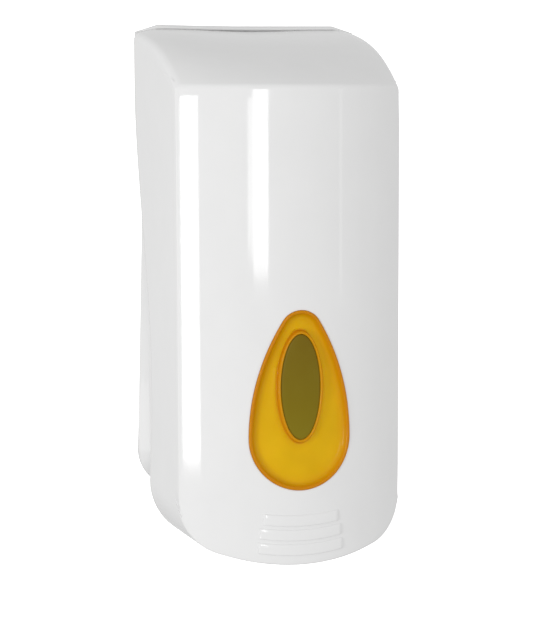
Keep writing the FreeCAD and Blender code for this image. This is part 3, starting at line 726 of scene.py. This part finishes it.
def tank_material():
    """Milky polyethylene, with the long flow marks of a blown bottle."""
    recipe = Recipe("tank_plastic", ior=1.5)
    recipe.set("Transmission Weight", 0.35)
    recipe.set("Subsurface Weight", 0.3)
    recipe.set("Subsurface Radius", (1.0, 1.0, 1.0))
    recipe.set("Subsurface Scale", 0.004)
    flow = recipe.noise(16.0, 4.0, 0.6, (1.0, 1.0, 0.2))
    grain = recipe.noise(700.0, 2.0)
    recipe.colour(recipe.mix(recipe.remap(flow, 0, 1), (0.80, 0.82, 0.82), (0.88, 0.90, 0.90)))
    recipe.roughness(recipe.add(recipe.remap(flow, 0.28, 0.4), grain, 0.08))
    recipe.bump(recipe.add(flow, grain, 0.05), 0.35, 0.4)
    return recipe.material


def rubber_material(name, dark, light, transmission=0.0):
    recipe = Recipe(name, ior=1.45)
    recipe.set("Transmission Weight", transmission)
    dust = recipe.noise(90.0, 5.0, 0.7)
    grain = recipe.noise(1200.0, 2.0)
    recipe.colour(recipe.mix(recipe.remap(dust, 0, 1), dark, light))
    recipe.roughness(recipe.remap(dust, 0.55, 0.8))
    recipe.bump(grain, 0.04, 0.6)
    return recipe.material


def metal_material(name, tone, worn, roughness, stretch):
    """Metal with fine tooling marks and a little smearing."""
    recipe = Recipe(name, metallic=1.0)
    marks = recipe.noise(650.0, 3.0, 0.6, stretch)
    smear = recipe.noise(70.0, 4.0, 0.6)
    recipe.colour(recipe.mix(recipe.remap(smear, 0, 1), tone, worn))
    recipe.roughness(recipe.add(recipe.remap(smear, roughness, roughness * 1.7), marks, 0.08))
    recipe.bump(marks, 0.02, 0.5)
    return recipe.material


MATERIALS = {
    "white_shell": white_shell_material(),
    "white_moulding": white_moulding_material(),
    "grey_plastic": grey_plastic_material(),
    "amber_lens": amber_lens_material(),
    "olive_glass": olive_glass_material(),
    "tank_plastic": tank_material(),
    "black_rubber": rubber_material("black_rubber", (0.018, 0.018, 0.018), (0.045, 0.044, 0.042)),
    "clear_rubber": rubber_material("clear_rubber", (0.66, 0.65, 0.62), (0.76, 0.75, 0.72), 0.3),
    "steel": metal_material("steel", (0.54, 0.55, 0.56), (0.62, 0.62, 0.62), 0.2, (1.0, 0.06, 1.0)),
    "chrome_lock": metal_material("chrome_lock", (0.76, 0.76, 0.77), (0.83, 0.83, 0.84), 0.06,
                                  (1.0, 1.0, 0.1)),
}


# ---------------------------------------------------------------- pieces that ride on the cover

def front_cover():
    cover = make_piece("front_cover_shell", cover_skin(), "cover", "white_shell", closed=False)
    wall = cover.modifiers.new("wall", "SOLIDIFY")
    wall.thickness = WALL * MM
    wall.offset = -1
    wall.use_quality_normals = True
    apply_modifiers(cover, 50)
    drill(cover, lathe([(LOCK_HEAD_R, -6, 0), (LOCK_HEAD_R, 6, 0)], (0, LOCK_Y, 0), solid=True))
    round_edges(cover, 0.3, 3, 60)
    apply_modifiers(cover, 50)
    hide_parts("front_cover")


def drill(obj, shape):
    """Cuts a shape out of an object."""
    cutter = make_piece("cutter", shape, "cover", "white_shell")
    cut = obj.modifiers.new("cut", "BOOLEAN")
    cut.object = cutter
    cut.solver = "EXACT"
    apply_modifiers(obj, 50)
    bpy.data.objects.remove(cutter)


def cover_fittings():
    """The cover's pivot bosses, pads, lock boss and the posts that hold the lens."""
    ear = lathe([(EAR_BORE_R, EAR[0], 0), (EAR_R, EAR[0], 0), (EAR_R, EAR[1], 0), (EAR_BORE_R, EAR[1], 0)],
                (0, PIVOT_Y, PIVOT_Z), "X")
    points, faces = block(PAD_X, (0, PAD_Y), PAD_Z)
    pad = [(x, y or front_y(x) + PAD_SINK, z) for x, y, z in points], faces
    boss = lathe([(LOCK_HEAD_R, 0, 0), (LOCK_BOSS_R, 0, 0), (LOCK_BOSS_R, LOCK_BOSS_TOP, 0),
                  (LOCK_BORE_R, LOCK_BOSS_TOP, 0), (LOCK_BORE_R, 2, 0), (LOCK_HEAD_R, 2, 0)],
                 (0, LOCK_Y, 0))
    posts = []
    for x, z in STAKES:
        seat = front_y(x)
        posts.append(mirrored(lathe(
            [(STAKE_R, 1.2, 0), (STAKE_R, 6.0, 0), (STAKE_HEAD_R, 6.0, 0), (STAKE_HEAD_R, 6.5, 0),
             (1.8, 7.0, 0), (0.8, 7.2, 0)],
            (x, seat, z), "Y", 32, solid=True)))
    fittings = make_piece("cover_fittings", join(mirrored(ear), mirrored(pad), boss, *posts),
                          "cover", "white_shell")
    round_edges(fittings, 0.25, 2, 50)
    apply_modifiers(fittings)
    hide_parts("front_cover")


def grip_bars():
    """Three raised bars, bowed like the lip: a lofted section of (up, out) points with a sharp lower
    edge, whose ends sink into the cover."""
    section = [(0, -BAR_SINK), (0, 0.1), (0.06, 0.5), (0.2, 0.72), (0.45, 0.8), (1.2, 0.74), (3.6, 0.62),
               (5.2, 0.52), (5.6, 0.42), (5.9, 0.22), (BAR_HEIGHT, -0.1), (BAR_HEIGHT, -BAR_SINK)]
    bars = []
    for index, half in enumerate(BAR_HALVES):
        low = BAR_TOP - index * BAR_PITCH - BAR_HEIGHT
        ends = [(half - 0.25, 1.0), (half - 0.14, 0.93), (half - 0.06, 0.72), (half - 0.02, 0.4),
                (half, 0.0)]
        columns = [(-x, share) for x, share in reversed(ends)]
        columns += [(x, 1.0) for x in steps(0.25 - half, half - 0.25, 1.5)[1:-1]] + ends
        points = []
        for x, share in columns:
            bow = x ** 2 / (2 * BAR_ARC_R)
            points += [front_point(x, low + bow + up, blend(-BAR_SINK, out, share) - 0.01)
                       for up, out in section]
        count, last = len(section), (len(columns) - 1) * len(section)
        faces = ring_faces(count, len(columns))
        faces += [tuple(range(count)), tuple(range(last, last + count))]
        bars.append((points, faces))
    obj = make_piece("grip_bars", join(*bars), "cover", "white_shell", 55)
    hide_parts("front_cover")


def window_lens():
    """The lens as closed rings of one profile: flange, bead, dished face and the sight glass's rim.

    An entry of the profile is a curve, its offset, its height over the front, and its share of the rim's
    colour. That colour is the thick beads' deeper orange, and down the dish's wall and in the groove round
    the sight glass it is painted shade. The offset is an inset from the lens outline, a growth of the
    sight glass's ellipse, or a share of the way between the two.
    """
    count = 192
    angles = [2 * math.pi * i / count for i in range(count)]
    # The last number of each entry: on the beads the deeper orange of thick amber; from tear 2.25 to 6.2
    # and from sight 3.2 to 2.35 it is painted shade down the dish's wall and in the groove round the sight
    # glass.
    profile = [
        ("tear", -2.8, -4.2, 0), ("tear", -2.8, -2.95, 0), ("tear", 0.08, -2.95, 0),
        ("tear", 0.08, -0.1, 1), ("tear", 0.14, 0.25, 1), ("tear", 0.35, 0.52, 1), ("tear", 0.7, 0.68, 1),
        ("tear", 1.15, 0.7, 1), ("tear", 1.5, 0.55, 0.95), ("tear", 1.8, 0.15, 0.85),
        ("tear", 2.0, -0.35, 0.75), ("tear", 2.25, -1.0, 0.65), ("tear", 2.6, -1.7, 0.55),
        ("tear", 3.2, -2.4, 0.42), ("tear", 4.0, -2.85, 0.28), ("tear", 5.0, -3.15, 0.15),
        ("tear", 6.2, -3.3, 0.05), ("tear", 8.4, -3.35, 0),
        ("between", 0.25, -3.3, 0), ("between", 0.5, -3.25, 0), ("between", 0.75, -3.2, 0),
        ("sight", 3.2, -3.2, 0.05), ("sight", 2.7, -3.4, 0.4), ("sight", 2.35, -3.35, 0.9),
        ("sight", 2.1, -2.9, 1), ("sight", 1.95, -1.9, 0.9),
        ("sight", 1.75, -0.9, 0.8), ("sight", 1.5, -0.4, 0.9), ("sight", 1.15, -0.2, 0.8),
        ("sight", 0.75, -0.22, 0.7), ("sight", 0.4, -0.4, 0.7), ("sight", 0.2, -0.8, 0.7),
        ("sight", 0.2, -4.2, 0.5),
    ]

    def ring_point(kind, offset, angle):
        if kind == "tear":
            return tear_point(angle, offset)
        if kind == "sight":
            return sight_point(angle, offset)
        a, b = tear_point(angle, 8.4), sight_point(angle, 3.0)
        return blend(a[0], b[0], offset), blend(a[1], b[1], offset)

    points = []
    for kind, offset, out, _ in profile:
        points += [front_point(*ring_point(kind, offset, a), out) for a in angles]
    faces = ring_faces(count, len(profile), closed=True)
    lens = make_piece("window_lens_dish", (points, faces), "cover", "amber_lens", 60)
    # The rim attribute carries the rim's deeper orange, which is painted shade on the dish wall and in the
    # groove round the sight glass.
    rim = lens.data.attributes.new("rim", "FLOAT", "POINT")
    rim.data.foreach_set("value", [share for *_, share in profile for _ in angles])
    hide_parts("window_lens")


def sight_glass():
    """An elliptical glass with a gently dished face and a flange behind the lens."""
    count = 128
    angles = [2 * math.pi * i / count for i in range(count)]
    scales = [0.08, 0.25, 0.45, 0.65, 0.82, 0.93]
    depth, dish = 0.45, 0.18
    points = []
    for scale in scales:
        out = -depth - dish * scale ** 2
        for x, z in [sight_point(a, -0.6) for a in angles]:
            points.append(front_point(x * scale, SIGHT_Z + (z - SIGHT_Z) * scale, out))
    edge = [(-0.6, -0.64), (-0.2, -0.75), (0.05, -1.0), (0.1, -4.25), (1.8, -4.25), (1.8, -5.2)]
    for grow, out in edge:
        points += [front_point(*sight_point(a, grow), out) for a in angles]
    rings = len(scales) + len(edge)
    faces = [f[::-1] for f in ring_faces(count, rings)]
    front, back = len(points), len(points) + 1
    points += [front_point(0, SIGHT_Z, -depth), front_point(0, SIGHT_Z, edge[-1][1])]
    faces += fan(count, 0, front) + fan(count, (rings - 1) * count, back, flip=True)
    glass = make_piece("sight_glass_oval", (points, faces), "cover", "olive_glass", 50)
    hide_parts("sight_glass")


# ---------------------------------------------------------------- wall plate's lip

def plate_lip():
    """A raised rounded lip along the top edge of the wall plate: a lofted section of (out, down)
    points that flattens at both ends."""
    half, shoulder = PLATE_STRAIGHT_X, PLATE_CORNER_X
    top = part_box("back_plate")[1].z / MM + ORIGIN_HEIGHT
    section = [(0.6, 3.4), (-0.5, 3.3), (-1.6, 3.0), (-2.4, 2.5), (-2.7, 1.8), (-2.4, 1.1), (-1.6, 0.5),
               (-0.5, 0.2), (0.6, 0.12)]
    columns = steps(-shoulder, -half, 1.5) + steps(-half, half, 4.0)[1:-1] + steps(half, shoulder, 1.5)
    points = []
    for x in columns:
        inside = min(1.0, abs(x) / half)
        crest = top - PLATE_SAG * (1 - inside ** 2) - max(0.0, abs(x) - half) * PLATE_CORNER_FALL
        size = ease((shoulder - abs(x)) / 6 + 0.15)
        for out, down in section:
            points.append((x, PLATE_FACE_Y + (out * size if out < 0 else out), crest - down))
    count, last = len(section), (len(columns) - 1) * len(section)
    faces = ring_faces(count, len(columns)) + [tuple(range(count)), tuple(range(last, last + count))]
    make_piece("plate_lip", (points, faces), "base", "white_shell", 55)


# ---------------------------------------------------------------- tank and lid

def quarter_angles(corner):
    """The angles of one quarter of a ring; a quarter starts where the one before it ends."""
    return [math.radians(90 * corner + 90 / (QUARTER - 1) * k) for k in range(QUARTER)]


def tank_ring(inset, z):
    """A level ring of the tank's rounded plan, tighter at the rear than at the front."""
    ring = []
    rear, front = (TANK_REAR, TANK_REAR_R), (TANK_FRONT, TANK_FRONT_R)
    for corner, (side, (y, radius)) in enumerate(((1, rear), (-1, rear), (-1, front), (1, front))):
        centre_x = side * (TANK_HALF - radius)
        centre_y = y - radius if y == TANK_REAR else y + radius
        reach = radius - inset
        ring += [(centre_x + reach * math.cos(a), centre_y + reach * math.sin(a), z)
                 for a in quarter_angles(corner)]
    return ring


def round_ring(radius, y, z):
    """A circle whose points run in step with the tank's rings."""
    angles = [a for corner in range(4) for a in quarter_angles(corner)]
    return [(radius * math.cos(a), y + radius * math.sin(a), z) for a in angles]


def tank_bottle():
    """A blown bottle: outlet below, rounded body with two stiffening grooves, and a wide neck."""
    low_r, high_r = TANK_FOOT_R, TANK_SHOULDER_R
    loops = [round_ring(PORT_R, PORT_Y, TANK_LOW - 10), round_ring(PORT_R, PORT_Y, TANK_LOW - 1.4),
             round_ring(PORT_R + 0.5, PORT_Y, TANK_LOW - 0.4), round_ring(PORT_R + 1.5, PORT_Y, TANK_LOW)]
    for a in steps(0, math.pi / 2, 0.26):
        loops.append(tank_ring(low_r * (1 - math.sin(a)), TANK_LOW + low_r * (1 - math.cos(a))))
    for z in steps(TANK_LOW + low_r + 2, TANK_HIGH - high_r - 2, 2.0):
        groove = max(math.exp(-((z - centre) / 2.2) ** 2) for centre in GROOVE_HEIGHTS)
        loops.append(tank_ring(1.1 * groove, z))
    for a in steps(0, math.pi / 2, 0.22):
        loops.append(tank_ring(high_r * (1 - math.cos(a)), TANK_HIGH - high_r + high_r * math.sin(a)))
    loops += [round_ring(NECK_R + 2.5, NECK_Y, TANK_HIGH),
              round_ring(NECK_R + 0.8, NECK_Y, TANK_HIGH + 0.6),
              round_ring(NECK_R, NECK_Y, TANK_HIGH + 2), round_ring(NECK_R, NECK_Y, NECK_TOP)]
    points = [p for loop in loops for p in loop]
    skin = points, ring_faces(4 * QUARTER, len(loops))
    tank = make_piece("tank_bottle", skin, "base", "tank_plastic", closed=False)
    wall = tank.modifiers.new("wall", "SOLIDIFY")
    wall.thickness = TANK_WALL * MM
    wall.offset = -1
    round_edges(tank, 0.3, 2, 60)
    apply_modifiers(tank)
    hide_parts("tank")


def tank_cap():
    """A push-on cap with a ribbed skirt, a domed top and a finger grip."""
    skirt = NECK_R + 2.1
    profile = [(20.9, 239.2, 0), (NECK_R + 0.1, 238.9, 0), (NECK_R + 0.1, 232.3, 0),
               (NECK_R + 0.4, 232.0, 0), (skirt - 0.3, 232.0, 0), (skirt, 232.3, 0),
               (skirt, 233.4, 0), (skirt, 234.0, 0.5),
               (skirt, 239.2, 0.5), (skirt, 239.8, 0), (skirt - 0.2, 240.6, 0), (skirt - 0.9, 241.2, 0),
               (skirt - 2, 241.4, 0), (skirt - 3, 241.0, 0), (17, 240.9, 0), (6, 241.2, 0)]
    body = lathe(profile, (0, NECK_Y, 0), count=240, ribs=40, solid=True)
    grip = block((-12, 12), (NECK_Y - 2.5, NECK_Y + 2.5), (240.6, 246))
    cap = make_piece("tank_cap", join(body, grip), "lid", "white_moulding")
    round_edges(cap, 0.9, 3, 60)
    apply_modifiers(cap)
    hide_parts("tank_lid")


# ---------------------------------------------------------------- CAD nodes that stay

# How far the bevel rounds the edges of each CAD node, in millimetres
EDGE_ROUNDING = {
    "back_plate": 0.5, "push_lever": 0.5, "pump_body": 0.5, "pump_end_cap": 0.5, "pump_piston": 0.3,
    "spout": 0.4, "lens_retainer": 0.2, "pivot_pins": 0.4, "pump_screws": 0.2, "lock_body": 0.25,
    "lock_plug": 0.12, "lock_cam": 0.2, "lock_nut": 0.25, "lock_screw": 0.1,
}


def finish_cad_nodes():
    """Gives every CAD node that still shows its slot's material, and the nodes listed in EDGE_ROUNDING
    softly rounded edges.
    """
    for subpart in frame["record"]["subparts"]:
        node = nodes[subpart["node"]]
        if node.hide_render:
            continue
        node.data.materials.clear()
        node.data.materials.append(MATERIALS[subpart["material_slot"]])
        if subpart["node"] in EDGE_ROUNDING:
            flatten = node.modifiers.new("flatten", "DECIMATE")
            flatten.decimate_type = "DISSOLVE"
            flatten.angle_limit = math.radians(1)
            round_edges(node, EDGE_ROUNDING[subpart["node"]], 3, 35)
            normals = node.modifiers.new("normals", "WEIGHTED_NORMAL")
            normals.keep_sharp = True


front_cover()
grip_bars()
cover_fittings()
window_lens()
sight_glass()
plate_lip()
tank_bottle()
tank_cap()
finish_cad_nodes()


# ---------------------------------------------------------------- stage, lights and camera

def emission_material(name, colour, strength):
    material = bpy.data.materials.new(name)
    material.use_nodes = True
    shader = material.node_tree.nodes["Principled BSDF"]
    shader.inputs["Base Color"].default_value = (*colour, 1)
    shader.inputs["Emission Color"].default_value = (*colour, 1)
    shader.inputs["Emission Strength"].default_value = strength
    return material


def backdrop():
    """A pale dome and floor, in metres, that only the camera sees, so that they add no light."""
    count, rings = 48, 16
    radius, floor_z = 9.0, -1.6
    points = []
    for k in range(1, rings):
        a = math.pi * k / rings
        z = max(floor_z, radius * math.cos(a))
        points += [(radius * math.sin(a) * math.cos(2 * math.pi * i / count),
                    radius * math.sin(a) * math.sin(2 * math.pi * i / count), z) for i in range(count)]
    points += [(0, 0, radius), (0, 0, floor_z)]
    faces = ring_faces(count, rings - 1) + fan(count, 0, len(points) - 2)
    faces += fan(count, (rings - 2) * count, len(points) - 1)
    mesh = bpy.data.meshes.new("backdrop")
    mesh.from_pydata(points, [], faces)
    obj = bpy.data.objects.new("backdrop", mesh)
    obj.data.materials.append(emission_material("backdrop_white", (0.9, 0.9, 0.9), 1.2))
    bpy.context.scene.collection.objects.link(obj)
    for ray in ("diffuse", "glossy", "transmission", "volume_scatter", "shadow"):
        setattr(obj, "visible_" + ray, False)


def world_light():
    """Soft light from all round, strongest near the horizon and weakest from below."""
    world = bpy.data.worlds.new("studio")
    bpy.context.scene.world = world
    world.use_nodes = True
    tree = world.node_tree
    background = tree.nodes["Background"]
    coords = tree.nodes.new("ShaderNodeTexCoord")
    split = tree.nodes.new("ShaderNodeSeparateXYZ")
    share = tree.nodes.new("ShaderNodeMapRange")
    share.inputs["From Min"].default_value = -1.0
    ramp = tree.nodes.new("ShaderNodeValToRGB")
    stops = ramp.color_ramp.elements
    while len(stops) < len(WORLD_STOPS):
        stops.new(0.5)
    for stop, (height, radiance) in zip(stops, WORLD_STOPS):
        stop.position = (height + 1) / 2
        stop.color = (radiance, radiance, radiance, 1)
    tree.links.new(coords.outputs["Generated"], split.inputs["Vector"])
    tree.links.new(split.outputs["Z"], share.inputs["Value"])
    tree.links.new(share.outputs["Result"], ramp.inputs["Fac"])
    tree.links.new(ramp.outputs["Color"], background.inputs["Color"])


def softbox(name, azimuth, elevation, width, height, distance, radiance):
    """A rectangular light that faces the object; angles in degrees, sizes in metres."""
    data = bpy.data.lights.new(name, "AREA")
    data.shape = "RECTANGLE"
    data.size = width
    data.size_y = height
    data.energy = radiance * width * height * math.pi
    light = bpy.data.objects.new(name, data)
    bpy.context.scene.collection.objects.link(light)
    a, e = math.radians(azimuth), math.radians(elevation)
    away = Vector((math.sin(a) * math.cos(e), -math.cos(a) * math.cos(e), math.sin(e)))
    light.location = away * distance
    light.rotation_mode = "QUATERNION"
    light.rotation_quaternion = away.to_track_quat("Z", "Y")


def camera():
    """The photograph's viewpoint, found by fitting the object's edges."""
    turn, tilt, roll = (math.radians(a) for a in (CAMERA_TURN, CAMERA_TILT, CAMERA_ROLL))
    ahead = Vector((math.sin(turn) * math.cos(tilt), math.cos(turn) * math.cos(tilt), -math.sin(tilt)))
    side = Vector((math.cos(turn), -math.sin(turn), 0))
    up = side.cross(ahead)
    right = side * math.cos(roll) + up * math.sin(roll)
    above = up * math.cos(roll) - side * math.sin(roll)
    data = bpy.data.cameras.new("camera")
    data.sensor_width = CAMERA_SENSOR
    data.lens = CAMERA_LENS
    obj = bpy.data.objects.new("camera", data)
    bpy.context.scene.collection.objects.link(obj)
    matrix = Matrix((right, above, -ahead)).transposed().to_4x4()
    matrix.translation = place(*CAMERA_PLACE)
    obj.matrix_world = matrix
    bpy.context.scene.camera = obj


backdrop()
world_light()
for light in SOFTBOXES:
    softbox(*light)
camera()
bpy.context.scene.view_settings.view_transform = "Standard"
